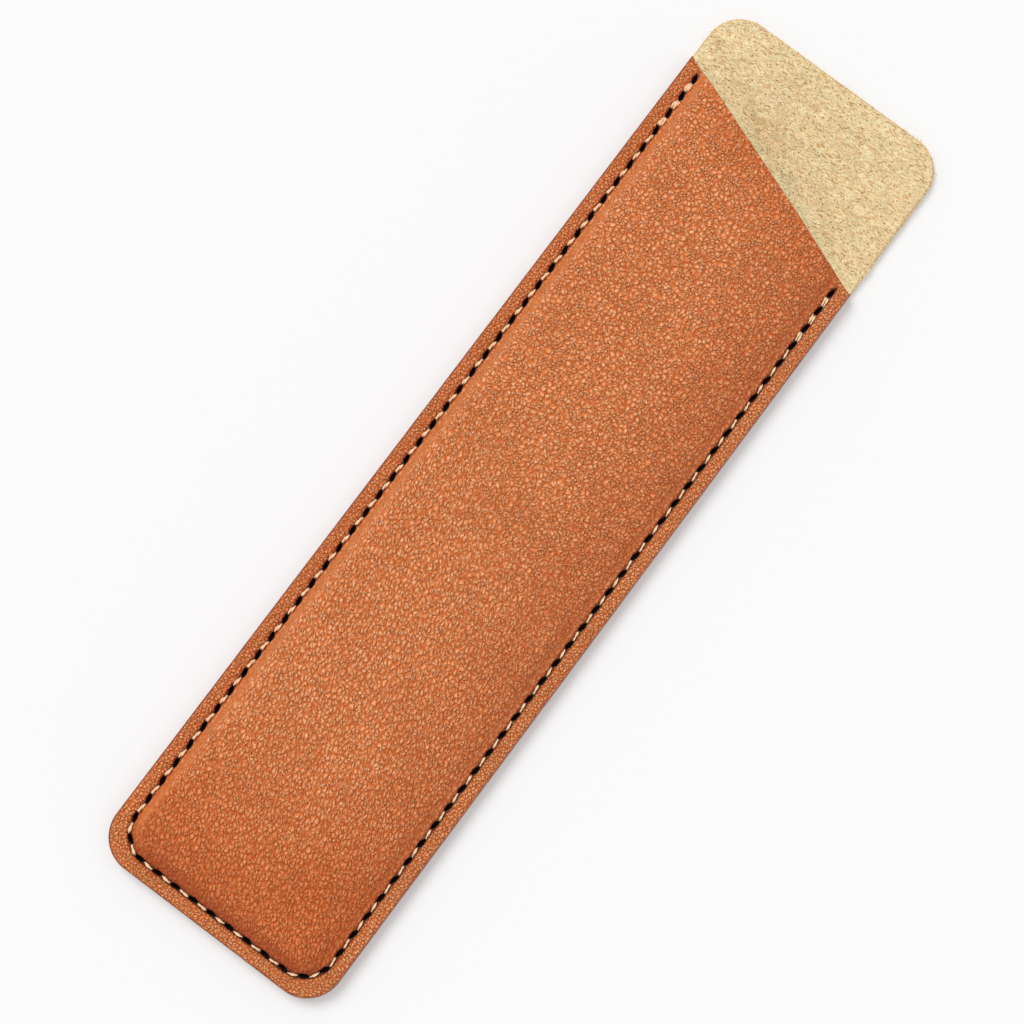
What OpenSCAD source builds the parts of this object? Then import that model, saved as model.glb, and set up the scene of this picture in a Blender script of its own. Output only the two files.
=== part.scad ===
// Single pen sleeve, hand sewn from two pieces of leather.
// A full-length back panel lies flat, flesh side up, and its bare end makes the tab.
// A shorter front panel is moulded into a low crown, which leaves the pocket for one pen.
// Its mouth is cut on a slant, and one waxed thread saddle stitches the two panels
// together down one side, across the closed end and up the other side.
//
// Origin: middle of the outline, on the face that the sleeve lies on.
// +X runs across the sleeve to its shorter seam, +Y towards the tab, +Z out of the front.

/* [Outline] */
// Width over the dressed edges
sleeve_w = 42.6; // [36:0.2:60]
// Length from the closed end to the tip of the tab
sleeve_l = 165; // [140:1:190]
// Radius of the four outer corners
corner_r = 6; // [3:0.5:10]

/* [Leather] */
// Thickness of the back panel
back_t = 1.25; // [1:0.05:2.5]
// Thickness of the front panel
front_t = 1.25; // [1:0.05:2.5]
// Thickness of the cement film between the two borders
cement_t = 0.1; // [0.05:0.05:0.2]

/* [Mouth] */
// Bare length of the tab on the left, from its tip to the mouth's cut
tab_left = 11; // [10:0.5:40]
// Bare length of the tab on the right, from its tip to the mouth's cut
tab_right = 26.8; // [12:0.2:50]
// How far moulding draws the middle of the cut back into the sleeve
mouth_draw = 0.8; // [0.4:0.1:3]

/* [Pocket] */
// Clear height of the pocket under the crown
pocket_h = 4.4; // [2:0.1:9]
// From the stitches' channel to the crease where the crown starts
crease_gap = 0.2; // [0.1:0.05:1.5]
// Extra leather between the inside crease and the outside one
crease_wall = 0.9; // [0.5:0.1:1.5]
// Length over which the crown rises from the closed end
end_rise_l = 22; // [8:0.5:30]

/* [Seam] */
// From the outer edge to the stitch line
seam_margin = 2.6; // [2:0.1:3]
// Radius of the stitch line round the two closed corners
seam_corner_r = 5.2; // [4.5:0.1:8]
// Distance between holes, adjusted slightly so that they fill the seam
stitch_pitch = 3.43; // [2.7:0.01:4]
// From the mouth to the first hole on the long seam
first_hole_gap = 1.8; // [1.2:0.1:4]
// From the mouth to the last hole on the short seam
last_hole_gap = 2.7; // [1.2:0.1:4]
// Length of an awl hole
hole_l = 2; // [1.8:0.05:2.4]
// Width of an awl hole
hole_w = 0.8; // [0.7:0.05:1]
// Clear width of the pressed channel on each side of the thread
channel_side = 0.25; // [0.2:0.05:0.4]
// Depth of the channel on the front
front_channel_d = 0.3; // [0.1:0.05:0.5]

/* [Thread] */
// Thickness of the thread at the middle of a stitch
thread_d = 0.6; // [0.4:0.05:0.7]

/* [Edge] */
// Thickness of the dye and wax skin on the cut edge
edge_skin_t = 0.15; // [0.05:0.05:0.3]
// Bevel that keeps the skin back from the two faces
edge_bevel = 0.2; // [0.1:0.05:0.3]

/* [Hidden] */
$fn = 96;

// The least gap between pieces that only just clear each other, and how far a cut runs past a face
EPS = 0.01;
OVER = 1;

// Heights of the layers of the seam
seam_z = back_t + cement_t;
top_z = seam_z + front_t;

// The channels, and the crease beside them, follow the thread
channel_w = thread_d + 2 * channel_side;
back_channel_d = thread_d + 2 * EPS;
crease_inset = seam_margin + channel_w / 2 + crease_gap;

half_w = sleeve_w / 2;
half_l = sleeve_l / 2;

// The mouth's cut, from the long seam on the left to the short seam on the right
mouth_left = [-half_w, half_l - tab_left];
mouth_right = [half_w, half_l - tab_right];
mouth_chord = norm(mouth_right - mouth_left);
mouth_turn = atan2(mouth_right.y - mouth_left.y, mouth_right.x - mouth_left.x);
mouth_arc_r = (pow(mouth_chord / 2, 2) + pow(mouth_draw, 2)) / (2 * mouth_draw);
function mouth_y(x) = mouth_left.y + (x + half_w) * tan(mouth_turn);

// The stitch line, a U with two round corners, followed by its length
seam_x = half_w - seam_margin;
seam_bottom = -half_l + seam_margin;
seam_start = mouth_y(-seam_x) - first_hole_gap;
seam_end = mouth_y(seam_x) - last_hole_gap;
bend_y = seam_bottom + seam_corner_r;
bend_x = seam_x - seam_corner_r;
bend_l = seam_corner_r * PI / 2;
left_l = seam_start - bend_y;
bottom_l = 2 * bend_x;
right_l = seam_end - bend_y;
seam_l = left_l + bottom_l + right_l + 2 * bend_l;
stitches = round(seam_l / stitch_pitch);
pitch = seam_l / stitches;
s1 = left_l;
s2 = s1 + bend_l;
s3 = s2 + bottom_l;
s4 = s3 + bend_l;
function bend_point(c, turn) = [c.x + seam_corner_r * cos(turn), c.y + seam_corner_r * sin(turn)];
function seam_point(s) =
    s < s1 ? [-seam_x, seam_start - s] :
    s < s2 ? bend_point([-bend_x, bend_y], 180 + (s - s1) / bend_l * 90) :
    s < s3 ? [-bend_x + s - s2, seam_bottom] :
    s < s4 ? bend_point([bend_x, bend_y], 270 + (s - s3) / bend_l * 90) :
    [seam_x, bend_y + s - s4];
function seam_turn(s) =
    s < s1 ? -90 :
    s < s2 ? -90 + (s - s1) / bend_l * 90 :
    s < s3 ? 0 :
    s < s4 ? (s - s3) / bend_l * 90 :
    90;
holes = [for (i = [0 : stitches]) seam_point(i * pitch)];
hole_turns = [for (i = [0 : stitches]) seam_turn(i * pitch)];

// A plate outline in the XY plane with four equal round corners
module round_outline(w, l, r) {
    square([w, l - 2 * r], center = true);
    square([w - 2 * r, l], center = true);
    for (x = [-1, 1]) {
        for (y = [-1, 1]) {
            translate([x * (w / 2 - r), y * (l / 2 - r)]) circle(r = r);
        }
    }
}

// The outline of both panels, which the edge skin brings up to the full size
module panel_outline(inset = edge_skin_t) {
    round_outline(sleeve_w - 2 * inset, sleeve_l - 2 * inset, corner_r - inset);
}

// Everything beyond the mouth's cut
module beyond_mouth(z, h) {
    translate([0, (mouth_left.y + mouth_right.y) / 2, z])
        rotate(mouth_turn)
        translate([0, mouth_arc_r - mouth_draw, 0])
        cylinder(r = mouth_arc_r, h = h, $fn = 360);
}

// An awl hole: a narrow lens, pointed along the seam
module awl_hole(z, h) {
    lens_r = (pow(hole_l, 2) + pow(hole_w, 2)) / (4 * hole_w);
    intersection() {
        translate([0, lens_r - hole_w / 2, z]) cylinder(r = lens_r, h = h);
        translate([0, hole_w / 2 - lens_r, z]) cylinder(r = lens_r, h = h);
    }
}

module awl_holes(z, h) {
    for (i = [0 : stitches]) {
        translate(holes[i]) rotate(hole_turns[i]) awl_hole(z, h);
    }
}

// The channel along the stitch line, from the first hole round to the last
module stitch_channel(z, h) {
    linear_extrude_z(z, h) difference() {
        intersection() {
            channel_loop(channel_w / 2);
            channel_reach();
        }
        channel_loop(-channel_w / 2);
    }
}

module linear_extrude_z(z, h) {
    translate([0, 0, z]) linear_extrude(height = h) children();
}

module channel_loop(grow) {
    w = 2 * (seam_x + grow);
    l = sleeve_l - 2 * seam_margin + 2 * grow;
    round_outline(w, l, seam_corner_r + grow);
}

module channel_reach() {
    reach = hole_l / 2;
    translate([-half_w, -half_l]) square([half_w, seam_start + reach + half_l]);
    translate([0, -half_l]) square([half_w, seam_end + reach + half_l]);
}

// The crown rises from its creases on all three sewn sides, and the lowest of the three rises
// counts. It is steep beside the long seam, level in the middle, and slow towards the short seam
// and the closed end. left_share and right_share are the parts of its width that the two side
// rises take. The pressing tool leaves a small upright step at the crease, and end_lift keeps the
// end's rise clear of the level middle.
left_share = 0.15;
right_share = 0.47;
steep = [4.4, 0.6];
slow = [2, 0.85];
crease_step = 0.05;
arch_h = pocket_h - cement_t - crease_step;
end_lift = 0.05;
rise_steps = 8;

// A rise over a length l, as [distance from the crease, height]. Its way is [flatness, swell]:
// a higher flatness reaches the full height sooner, and a lower swell makes the start steeper.
function rise_points(l, way, h) =
    [for (k = [0 : rise_steps])
        let (d = l * (1 - cos(90 * k / rise_steps)))
        [d, h * pow(1 - pow(1 - d / l, way[0]), way[1])]];
function reversed(v) = [for (k = [len(v) - 1 : -1 : 0]) v[k]];

// The crease in plan, which turns the two closed corners round the same centres as the seam
module crease_outline(inset) {
    translate([0, inset]) round_outline(2 * (half_w - inset), sleeve_l, seam_corner_r + seam_margin - inset);
}

// Both profiles stand on floor_z and run OVER past the crease, where crease_outline cuts them
module side_profile(w, floor_z, crease_z, h) {
    left = [for (p = rise_points(2 * w * left_share, steep, h)) [p.x - w, crease_z + p.y]];
    right = [for (p = rise_points(2 * w * right_share, slow, h)) [w - p.x, crease_z + p.y]];
    polygon(concat([[-w - OVER, floor_z], [-w - OVER, crease_z]], left,
        reversed(right), [[w + OVER, crease_z], [w + OVER, floor_z]]));
}

module end_profile(l, floor_z, crease_z, h) {
    slope = [for (p = rise_points(end_rise_l, slow, h + end_lift)) [p.x, crease_z + p.y]];
    polygon(concat([[-OVER, floor_z], [-OVER, crease_z]], slope,
        [[l, crease_z + h + end_lift], [l, floor_z]]));
}

// A solid under the crown, from floor_z up, whose sides meet its top at crease_z
module crown_solid(inset, floor_z, crease_z, h) {
    w = half_w - inset;
    intersection() {
        translate([0, half_l + OVER, 0]) rotate([90, 0, 0])
            linear_extrude(height = sleeve_l + 2 * OVER) side_profile(w, floor_z, crease_z, h);
        translate([-half_w, inset - half_l, 0]) rotate([90, 0, 90])
            linear_extrude(height = sleeve_w) end_profile(sleeve_l + OVER, floor_z - OVER, crease_z, h);
        linear_extrude_z(floor_z - OVER, crease_z - floor_z + h + 2 * OVER) crease_outline(inset);
    }
}

module back_panel() {
    color("burlywood") difference() {
        linear_extrude(height = back_t) panel_outline();
        stitch_channel(-OVER, OVER + back_channel_d);
        awl_holes(0, back_t + OVER);
    }
}

module front_panel() {
    color([0.73, 0.42, 0.26]) difference() {
        union() {
            linear_extrude_z(seam_z, front_t) panel_outline();
            crown_solid(crease_inset, seam_z + front_t / 2, top_z + crease_step, arch_h);
        }
        crown_solid(crease_inset + crease_wall, seam_z - OVER, seam_z + crease_step, arch_h);
        beyond_mouth(seam_z - OVER, pocket_h + front_t + 3 * OVER);
        stitch_channel(top_z - front_channel_d, OVER);
        awl_holes(seam_z - OVER, front_t + OVER);
    }
}

// The cement that holds the two borders together before they are sewn
module seam_cement() {
    color("tan") difference() {
        linear_extrude_z(back_t, cement_t) panel_outline();
        linear_extrude_z(back_t - OVER, 2 * OVER) crease_outline(crease_inset);
        beyond_mouth(back_t - OVER, 2 * OVER);
        awl_holes(back_t - OVER, 2 * OVER);
    }
}

// The thread is one tube that a needle on each end has sewn: pass 0 and pass 1 change faces
// at every hole, so each gap has a stitch on both faces. Inside a hole the passes are squeezed
// flat side by side and they change sides from hole to hole, which slants the stitches.
front_thread_z = top_z - front_channel_d + thread_d / 2 + 2 * EPS;
back_thread_z = thread_d / 2 + EPS;
middle_z = (front_thread_z + back_thread_z) / 2;
knee_inset = 0.45;
knee_reach = hole_l / 2 - knee_inset;
hole_clearance = 0.12;
squeeze_w = (hole_w - 2 * hole_clearance) / 4;
squeeze_share = 0.84;
squeeze_d = squeeze_share * thread_d / 2;
pass_side = squeeze_w + EPS;
tube_sides = 6;

function flat_way(i) = [cos(hole_turns[i]), sin(hole_turns[i]), 0];
function left_of(v) = [-v.y, v.x, 0];
function thread_z(pass, gap) = (pass + gap) % 2 == 0 ? front_thread_z : back_thread_z;
function side_of(pass, i) = ((pass + i) % 2 == 0 ? 1 : -1) * pass_side;

// A knot is [place, half width, half depth, which way is left]
function knot(pass, i, reach, z, half_w, half_d) =
    [[holes[i].x, holes[i].y, z] + reach * flat_way(i) + side_of(pass, i) * left_of(flat_way(i)),
        half_w, half_d, left_of(flat_way(i))];
function belly_knot(a, b) =
    [(a[0] + b[0]) / 2, thread_d / 2, thread_d / 2, (a[3] + b[3]) / norm(a[3] + b[3])];
function stitch_knots(pass, gap) =
    let (z = thread_z(pass, gap))
    let (a = knot(pass, gap, knee_reach, z, squeeze_w, squeeze_d))
    let (b = knot(pass, gap + 1, -knee_reach, z, squeeze_w, squeeze_d))
    [a, belly_knot(a, b), b];
function pass_knots(pass) =
    concat([for (gap = [0 : stitches - 1]) each stitch_knots(pass, gap)],
        [knot(pass, stitches, 0, middle_z, squeeze_w, squeeze_d)]);
first_turn = [[holes[0].x, holes[0].y, middle_z] + knee_reach / 3 * flat_way(0),
    squeeze_w, squeeze_d, left_of(flat_way(0))];
thread_knots = concat(reversed(pass_knots(1)), [first_turn], pass_knots(0));

function unit(v) = v / norm(v);
function knot_way(k, n) =
    let (before = k == 0 ? [0, 0, 0] : unit(thread_knots[k][0] - thread_knots[k - 1][0]))
    let (after = k == n - 1 ? [0, 0, 0] : unit(thread_knots[k + 1][0] - thread_knots[k][0]))
    unit(before + after);
function knot_ring(k, n) =
    let (t = thread_knots[k])
    let (way = knot_way(k, n))
    let (left = unit(t[3] - (t[3] * way) * way))
    let (up = cross(way, left))
    [for (j = [0 : tube_sides - 1]) let (turn = 360 * j / tube_sides)
        t[0] + t[1] * cos(turn) * left + t[2] * sin(turn) * up];

module saddle_stitch_thread() {
    n = len(thread_knots);
    rings = [for (k = [0 : n - 1]) each knot_ring(k, n)];
    sides = [for (k = [0 : n - 2]) for (j = [0 : tube_sides - 1])
        let (a = k * tube_sides + j)
        let (b = k * tube_sides + (j + 1) % tube_sides)
        each [[a, b + tube_sides, b], [a, a + tube_sides, b + tube_sides]]];
    first_end = [[for (j = [0 : tube_sides - 1]) j]];
    last_end = [[for (j = [tube_sides - 1 : -1 : 0]) (n - 1) * tube_sides + j]];
    color("linen") polyhedron(points = rings, faces = concat(sides, first_end, last_end), convexity = 10);
}

// The dye and wax that close the cut edge of the back panel and of the sewn seam
module edge_skin() {
    color("saddlebrown") difference() {
        linear_extrude_z(edge_bevel, top_z - 2 * edge_bevel) difference() {
            panel_outline(0);
            panel_outline();
        }
        beyond_mouth(back_t - edge_bevel, top_z);
    }
}

back_panel();
front_panel();
seam_cement();
saddle_stitch_thread();
edge_skin();
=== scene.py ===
# %% [markdown]
# # A hand-sewn leather pen sleeve
# Two pieces of leather make this sleeve: a long back panel, whose bare flesh side shows as a tab,
# and a shorter front panel that is moulded over the pocket. The solids are already there. They
# have the right sizes and places, but plain faces, so this lesson dresses each of them in a finer
# mesh and a material with grain, nap, twist or wax.

# %% Load the frame
import math

import bpy
import numpy as np
from mathutils import Matrix, Vector


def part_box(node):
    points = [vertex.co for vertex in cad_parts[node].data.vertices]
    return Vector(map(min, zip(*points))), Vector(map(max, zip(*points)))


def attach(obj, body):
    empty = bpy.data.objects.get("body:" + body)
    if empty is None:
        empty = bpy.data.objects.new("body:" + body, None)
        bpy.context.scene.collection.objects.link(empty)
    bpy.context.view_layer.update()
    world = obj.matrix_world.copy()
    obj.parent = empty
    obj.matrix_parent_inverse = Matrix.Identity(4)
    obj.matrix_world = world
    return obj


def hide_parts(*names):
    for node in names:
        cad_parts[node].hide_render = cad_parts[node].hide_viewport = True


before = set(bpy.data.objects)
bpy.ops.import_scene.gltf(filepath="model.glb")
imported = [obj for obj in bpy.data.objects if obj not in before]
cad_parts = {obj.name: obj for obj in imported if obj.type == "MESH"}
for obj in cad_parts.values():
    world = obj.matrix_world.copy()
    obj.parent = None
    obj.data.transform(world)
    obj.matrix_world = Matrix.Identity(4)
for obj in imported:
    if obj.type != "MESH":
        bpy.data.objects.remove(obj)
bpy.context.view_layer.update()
MM = 0.001
print("solids:", sorted(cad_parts))

# %% [markdown]
# ## The camera
# The sleeve was photographed from almost straight above, with the mouth end towards the upper
# right. The camera's place and turn were found by matching the outline's four long edges. Three
# directions, right, up and backward, are all that a camera needs, so they go into its matrix.

# %% Place the camera
CAMERA_AT = Vector((16.1, -31.75, 348.2)) * MM
CAMERA_RIGHT = Vector((0.80053, 0.59920, 0.01028))
CAMERA_UP = Vector((-0.59735, 0.79643, 0.09420))
LENS, SENSOR = 78.99, 36.0
NEAREST = 0.01

right = CAMERA_RIGHT.normalized()
backward = right.cross(CAMERA_UP).normalized()
up = backward.cross(right)
camera = bpy.data.objects.new("camera", bpy.data.cameras.new("camera"))
camera.data.lens = LENS
camera.data.sensor_width = SENSOR
camera.data.clip_start = NEAREST
camera_turn = Matrix((right, up, backward)).transposed().to_4x4()
camera.matrix_world = Matrix.Translation(CAMERA_AT) @ camera_turn
bpy.context.scene.collection.objects.link(camera)
bpy.context.scene.camera = camera
print("camera", [round(v, 3) for v in camera.location], "lens", LENS)

# %% [markdown]
# ## Sizes
# Every size that a solid can tell is read from its box, so the dressing follows the model. What a
# box can't tell, such as how far the seam lies from the edge, is repeated here in millimetres.
# All the shaping below is worked out in millimetres and turned into metres at the very end.

# %% Read the sizes
_, skin_high = [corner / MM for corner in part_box("edge_skin")]
front_low, front_high = [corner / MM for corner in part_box("front_panel")]
back_low, back_high = [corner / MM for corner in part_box("back_panel")]

HALF_W, HALF_L = skin_high.x, skin_high.y
BACK_TOP = back_high.z
SEAM_Z = front_low.z
LEATHER = BACK_TOP - back_low.z
TOP_Z = SEAM_Z + LEATHER
ARCH_H = front_high.z - TOP_Z
SKIN = HALF_W - back_high.x

# The outline's corners, the stitch line's distance from the edge and its corners
CORNER_R, SEAM_MARGIN, SEAM_CORNER_R = 6.0, 2.6, 5.2
# The panels inside the dressed edge: half their width, half their length and their corners
PANEL = (HALF_W - SKIN, HALF_L - SKIN, CORNER_R - SKIN)
# The channel's width, the crease's distance from the edge and the wall at the crease
CHANNEL_W, CREASE_INSET, CREASE_WALL = 1.1, 3.35, 0.9
# How far the crown's rises reach: from the closed end in mm, from the sides as shares of the width
END_RISE, LEFT_SHARE, RIGHT_SHARE = 22.0, 0.15, 0.47
# The tab's length along both sides
TAB_LEFT, TAB_RIGHT = 11.0, 26.8
# The number of stitches, and how far from the mouth the seam starts and ends
STITCHES, FIRST_GAP, LAST_GAP = 92, 1.8, 2.7
print(f"outline {2 * HALF_W:.1f} x {2 * HALF_L:.1f} mm, crown {ARCH_H:.2f} mm above the border")

# %% [markdown]
# ## The mouth and the stitch line
# The mouth is cut on a straight slant. The stitch line is a U that keeps the same distance from the
# edge, with round corners. Each function takes whole arrays of places at once, which numpy handles
# in a blink.

# %% Mouth and stitch line
MOUTH_SLOPE = (TAB_LEFT - TAB_RIGHT) / (2 * HALF_W)
SEAM_X = HALF_W - SEAM_MARGIN
SEAM_BOTTOM = -HALF_L + SEAM_MARGIN
BEND_X = SEAM_X - SEAM_CORNER_R
BEND_Y = SEAM_BOTTOM + SEAM_CORNER_R


def mouth_y(x):
    """Where the mouth's cut crosses each x, before the crown lifts it."""
    return HALF_L - TAB_LEFT + (x + HALF_W) * MOUTH_SLOPE


seam_start = mouth_y(-SEAM_X) - FIRST_GAP
seam_end = mouth_y(SEAM_X) - LAST_GAP
bend_l = SEAM_CORNER_R * math.pi / 2
ends = np.cumsum([seam_start - BEND_Y, bend_l, 2 * BEND_X, bend_l, seam_end - BEND_Y])
seam_l = ends[-1]
pitch = seam_l / STITCHES


def seam_place(s, offset=0.0):
    """Plan places at length s along the stitch line, offset to the inside, and its direction."""
    s, offset = np.broadcast_arrays(np.asarray(s, float), np.asarray(offset, float))
    part = [s < end for end in ends[:4]]
    first_turn, second_turn = -90 + (s - ends[0]) / bend_l * 90, (s - ends[2]) / bend_l * 90
    a = np.radians(np.select(part, [-90, first_turn, 0, second_turn], 90))
    r = SEAM_CORNER_R - offset
    out, bend_y = r * np.sin(a), BEND_Y - r * np.cos(a)
    along_x = [-SEAM_X + offset, -BEND_X + out, s - ends[1] - BEND_X, BEND_X + out]
    along_y = [seam_start - s, bend_y, SEAM_BOTTOM + offset, bend_y]
    x = np.select(part, along_x, SEAM_X - offset)
    y = np.select(part, along_y, BEND_Y + s - ends[3])
    return x, y, a


def seam_coords(x, y):
    """The opposite: each place's length along the stitch line and its offset to the inside."""
    side = np.where(x < 0, -1, 1)
    dx, dy = np.abs(x) - BEND_X, BEND_Y - y
    corner = (dx > 0) & (dy > 0)
    along_side = np.where(side < 0, seam_start - y, ends[3] + y - BEND_Y)
    along_end = ends[1] + x + BEND_X
    bend = np.arctan2(np.maximum(dy, 1e-9), np.maximum(dx, 1e-9)) * SEAM_CORNER_R
    along_bend = np.where(side < 0, ends[0] + bend, ends[3] - bend)
    by_side, by_end = SEAM_X - np.abs(x), y - SEAM_BOTTOM
    offset = np.where(corner, SEAM_CORNER_R - np.hypot(dx, dy), np.minimum(by_side, by_end))
    at_end = (~corner) & (by_end < by_side) & (np.abs(x) < BEND_X)
    s = np.where(corner, along_bend, np.where(at_end, along_end, along_side))
    return s, offset


print(f"seam {seam_l:.1f} mm, {STITCHES} stitches of {pitch:.2f} mm")

# %% [markdown]
# ## A grid that fits the panel
# A panel is built as a grid of columns along the sleeve and rows across it. The lines of the grid
# are close together where there is much to shape, at the edges and along the seam, and wider apart
# on the crown. One grid makes the face that shows, a second one the face below, and a band of
# quads joins their rims, so that each panel is one closed skin.


# %% Grid helpers
def spaced(stops, steps):
    """Places from the first stop to the last, with its own step between each pair of stops."""
    places = [stops[0]]
    for low, high, step in zip(stops, stops[1:], steps):
        places += list(np.linspace(low, high, max(1, round((high - low) / step)) + 1)[1:])
    return np.array(places)


def mirrored(insets, half):
    """Columns from one edge to the other, from insets that run from the edge to the middle."""
    left = insets - half
    return np.concatenate([left, -left[-2::-1]])


def end_y(x, half_w, half_l, r):
    """The outline's lower end at each x, with its round corners. The upper end is its mirror."""
    past = np.clip(np.abs(x) - (half_w - r), 0, r)
    return -half_l + r - np.sqrt(np.maximum(r * r - past * past, 0))


def edge_distance(x, y, half_w, half_l, r):
    """How far inside the round-cornered outline each place lies."""
    dx, dy = np.abs(x) - (half_w - r), np.abs(y) - (half_l - r)
    outside = np.hypot(np.maximum(dx, 0), np.maximum(dy, 0)) + np.minimum(np.maximum(dx, dy), 0)
    return r - outside


def rows_between(y_low, y_high, low_rows, steps, high_rows):
    """Rows along each column: at set distances near both ends, with even steps between them."""
    fixed = np.concatenate(
        [low_rows, np.full(steps, low_rows[-1]), low_rows[-1] + high_rows[1:]]
    )
    even = np.linspace(0, 1, steps + 1)[1:]
    share = np.concatenate([np.zeros(len(low_rows)), even, np.ones(len(high_rows) - 1)])
    return y_low + fixed[:, None] + share[:, None] * (y_high - y_low - fixed[-1])


def smooth(low, high, value):
    """From 0 at low to 1 at high, without a kink."""
    t = np.clip((value - low) / (high - low), 0, 1)
    return t * t * (3 - 2 * t)


def hump(value, middle, width, power=2):
    """1 at the middle and less on both sides. More power is a flatter top with steeper sides."""
    return np.exp(-(np.abs((value - middle) / width) ** power))


def taken_off(inside, r):
    """What an edge that is rounded with radius r loses in height, so far inside the edge."""
    return r - np.sqrt(np.maximum(r**2 - np.clip(r - inside, 0, r) ** 2, 0))


def draw_on(piece, title, values):
    """Keep one number for each point of a piece, for its material to use."""
    layer = piece.data.attributes.new(title, "FLOAT", "POINT")
    layer.data.foreach_set("value", np.asarray(values, np.float32))


def lay_out(piece, title, places):
    """Keep each point's place in the flat hide, so that steep sides don't pull the grain long."""
    layer = piece.data.attributes.new(title, "FLOAT_VECTOR", "POINT")
    layer.data.foreach_set("vector", np.asarray(places, np.float32).ravel())


def closed_skin(name, top, bottom, attributes=(), under_value=0.0):
    """A closed mesh object from two grids of places with the same rows and columns, in mm."""
    rows, cols = top.shape[:2]
    n = rows * cols
    index = np.arange(n).reshape(rows, cols)
    a, b, c, d = index[:-1, :-1], index[:-1, 1:], index[1:, 1:], index[1:, :-1]
    up = np.stack([a, b, c, d], -1).reshape(-1, 4)
    rim = np.concatenate([index[0, :-1], index[:-1, -1], index[-1, :0:-1], index[:0:-1, 0]])
    after = np.roll(rim, -1)
    wall = np.stack([rim, rim + n, after + n, after], -1)
    faces = np.concatenate([up, up[:, ::-1] + n, wall])
    places = np.concatenate([top.reshape(-1, 3), bottom.reshape(-1, 3)]) * MM
    piece = mesh_object(name, places, faces)
    for title, values in attributes:
        draw_on(piece, title, np.concatenate([values.ravel(), np.full(n, under_value)]))
    return piece


def mesh_object(name, places, faces):
    """A smooth-shaded object from an array of places in metres and an array of faces."""
    mesh = bpy.data.meshes.new(name)
    mesh.vertices.add(len(places))
    mesh.vertices.foreach_set("co", np.asarray(places, np.float32).ravel())
    size = faces.shape[1]
    mesh.loops.add(faces.size)
    mesh.loops.foreach_set("vertex_index", faces.astype(np.int32).ravel())
    mesh.polygons.add(len(faces))
    mesh.polygons.foreach_set("loop_start", np.arange(0, faces.size, size, dtype=np.int32))
    mesh.polygons.foreach_set("use_smooth", np.ones(len(faces), bool))
    mesh.update(calc_edges=True)
    mesh.validate()
    piece = bpy.data.objects.new(name, mesh)
    bpy.context.scene.collection.objects.link(piece)
    return piece


# %% [markdown]
# ## Uneven leather
# No hide is flat, and its grain is a pattern of small beads. Both come from tables of random
# numbers with a fixed seed, so every run gives the same hide. The slow waves blend the table's
# values smoothly from one to the next. The beads are cells round scattered points: a cell's height
# falls off towards its border with the next cell, which leaves a dome with a valley round it.


# %% Waves and beads
WAVE_TABLE, WAVE_START = 97, 400
BEAD_TABLE, BEAD_START = 131, 900


def ripple(x, y, size, seed):
    """Smooth waves from -1 to 1, about `size` mm apart."""
    n = WAVE_TABLE
    table = np.random.default_rng(seed).uniform(-1, 1, (n, n))
    u, v = x / size + WAVE_START, y / size + WAVE_START
    i, j = np.floor(u).astype(int), np.floor(v).astype(int)
    fu, fv = smooth(0, 1, u - i), smooth(0, 1, v - j)
    low = table[i % n, j % n] * (1 - fu) + table[(i + 1) % n, j % n] * fu
    high = table[i % n, (j + 1) % n] * (1 - fu) + table[(i + 1) % n, (j + 1) % n] * fu
    return low * (1 - fv) + high * fv


def beads(x, y, across, along, turn, seed):
    """Heights from 0 in the valleys to about 1 on the beads, which are `across` by `along` mm."""
    n = BEAD_TABLE
    jitter = np.random.default_rng(seed).uniform(0.12, 0.88, (n, n, 2))
    a = math.radians(turn)
    u = (x * math.cos(a) + y * math.sin(a)) / across + BEAD_START
    v = (y * math.cos(a) - x * math.sin(a)) / along + BEAD_START
    i, j = np.floor(u).astype(int), np.floor(v).astype(int)
    nearest = np.full(u.shape, 9.0)
    second = np.full(u.shape, 9.0)
    for di in (-1, 0, 1):
        for dj in (-1, 0, 1):
            point = jitter[(i + di) % n, (j + dj) % n]
            far = np.hypot(i + di + point[..., 0] - u, j + dj + point[..., 1] - v)
            second = np.minimum(second, np.maximum(nearest, far))
            nearest = np.minimum(nearest, far)
    return smooth(0.0, 0.7, second - nearest) * (1.1 - 0.6 * nearest)


# %% [markdown]
# ## The front panel
# The real front panel is wetted, pressed over a form and sewn down, which leaves four things to
# show: a border that lies flat, a channel that the stitches sink into, a crease beside it, and a
# low crown. The crown rises steeply beside the long seam, is level in the middle and falls slowly
# towards the short seam and the closed end. All of them are heights over the plan, so they can
# simply be added up on the grid, and so can the waves and the larger beads of the grain.

# %% Heights over the plan
# Roundings of the panel's edge and of the mouth's cut, and how far the cut leans and dips
EDGE_ROUND, CUT_ROUND, CUT_LEAN, CUT_DIP = 0.4, 0.12, 0.22, 0.25
# Depths of the channel and the awl holes, and what stays under a hole
CHANNEL_DEPTH, HOLE_DEPTH, HOLE_FLOOR = 0.3, 1.1, 0.06
# Half the length and width of an awl hole at the face, and its turn against the stitch line
HOLE_HALF_L, HOLE_HALF_W, HOLE_SLANT = 0.98, 0.35, math.radians(11)
# Flatness and swell of the steep rise, of the two slow ones and of the start beside the crease
STEEP, SLOW, START = (4.4, 0.6), (2.0, 0.85), (2.0, 0.5)
# How wide that start is
START_W = 1.3
# How sharply the three rises meet, and how low one may get before that
SHARPNESS, LOWEST_RISE = 5.0, 0.01
# How fast the channel and its colour end past the seam
FADE = 0.7


def rise(d, length, flatness, swell):
    """From 0 to 1 over `length`. More flatness is a wider top, less swell a steeper start."""
    return (1 - (1 - np.clip(d / length, 0, 1)) ** flatness) ** swell


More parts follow.
